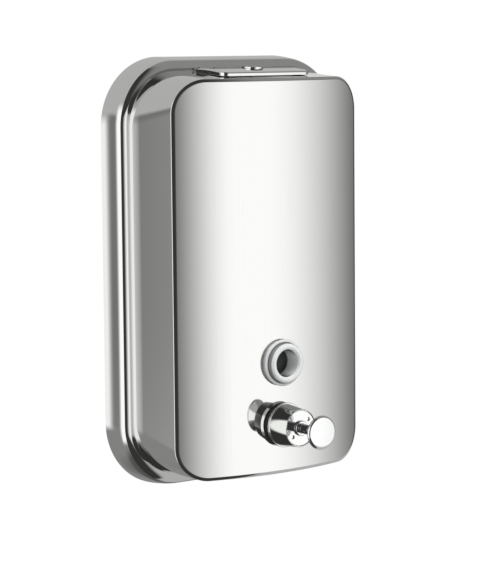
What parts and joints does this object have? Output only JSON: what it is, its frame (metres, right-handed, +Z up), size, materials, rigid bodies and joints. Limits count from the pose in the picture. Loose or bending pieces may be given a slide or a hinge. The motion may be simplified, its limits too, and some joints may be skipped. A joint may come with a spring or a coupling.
{
  "type": "wall-mounted soap dispenser",
  "caption": "Wall-mounted polished steel soap tank with a bowed front, push pump, round sight window and locked hinged filler lid, hung on a screwed wall bracket.",
  "frame": {"origin": "centre of the wall bracket's screw pattern on the wall plane, which is also the middle of the rim", "axes": "+Z up along the wall, +Y into the wall, so the front faces -Y, and +X to the right seen from the front"},
  "size_m": [0.1444, 0.0909, 0.225],
  "materials": {
    "polished_steel": "mirror polished",
    "lid_steel": "polished",
    "plain_steel": "plain rolled",
    "chrome": "bright chrome plate",
    "lock_steel": "satin",
    "spring_steel": "bright drawn",
    "clear_plastic": "clear",
    "white_plastic": "moulded",
    "dark_rubber": "matt",
    "pale_rubber": "matt"
  },
  "bodies": {
    "bracket": {"wall_bracket": "plain_steel"},
    "tank": {"hanger_rail": "plain_steel", "back_panel": "plain_steel", "front_shell": "polished_steel", "filler_neck": "plain_steel", "hinge_base": "plain_steel", "hinge_pin": "plain_steel", "sight_window": "clear_plastic", "window_gasket": "pale_rubber", "window_nut": "white_plastic", "pump_gasket": "dark_rubber", "pump_collar": "chrome", "pump_face_cap": "chrome", "rod_wiper_seal": "dark_rubber", "pump_barrel": "white_plastic", "pump_washer": "dark_rubber", "pump_lock_nut": "white_plastic", "return_spring": "spring_steel", "inlet_elbow": "white_plastic", "pickup_tube": "white_plastic"},
    "plunger": {"push_knob": "chrome", "plunger_rod": "chrome", "piston": "white_plastic", "piston_seal": "dark_rubber"},
    "outlet_valve": {"outlet_ball": "spring_steel"},
    "inlet_valve": {"inlet_ball": "spring_steel"},
    "lid": {"filler_lid": "lid_steel", "lid_gasket": "dark_rubber", "lock_barrel": "chrome", "lock_nut": "plain_steel"},
    "lock": {"lock_plug": "lock_steel", "lock_cam": "plain_steel", "cam_screw": "plain_steel"}
  },
  "joints": [
    {"name": "lift_off", "type": "slide", "parent": "bracket", "child": "tank", "axis": [0, 0, 1], "range_m": [0, 0.01]},
    {"name": "plunger_push", "type": "slide", "parent": "tank", "child": "plunger", "axis": [0, 1, 0], "range_m": [0, 0.008], "stiffness_N_per_m": 500, "springref_m": -0.012, "deforming": ["return_spring"]},
    {"name": "lid_hinge", "type": "hinge", "parent": "tank", "child": "lid", "pos_m": [0, -0.01854, 0.10555], "axis": [-1, 0, 0], "range_deg": [0, 100]},
    {"name": "lock_turn", "type": "hinge", "parent": "lid", "child": "lock", "pos_m": [0, -0.0335, 0.10293], "axis": [0, 0.0682, -0.9977], "range_deg": [0, 90]},
    {"name": "inlet_ball_lift", "type": "slide", "parent": "tank", "child": "inlet_valve", "axis": [0, 0, 1], "range_m": [0, 0.0015]},
    {"name": "outlet_ball_lift", "type": "slide", "parent": "plunger", "child": "outlet_valve", "axis": [0, -1, 0], "range_m": [0, 0.0012]}
  ]
}
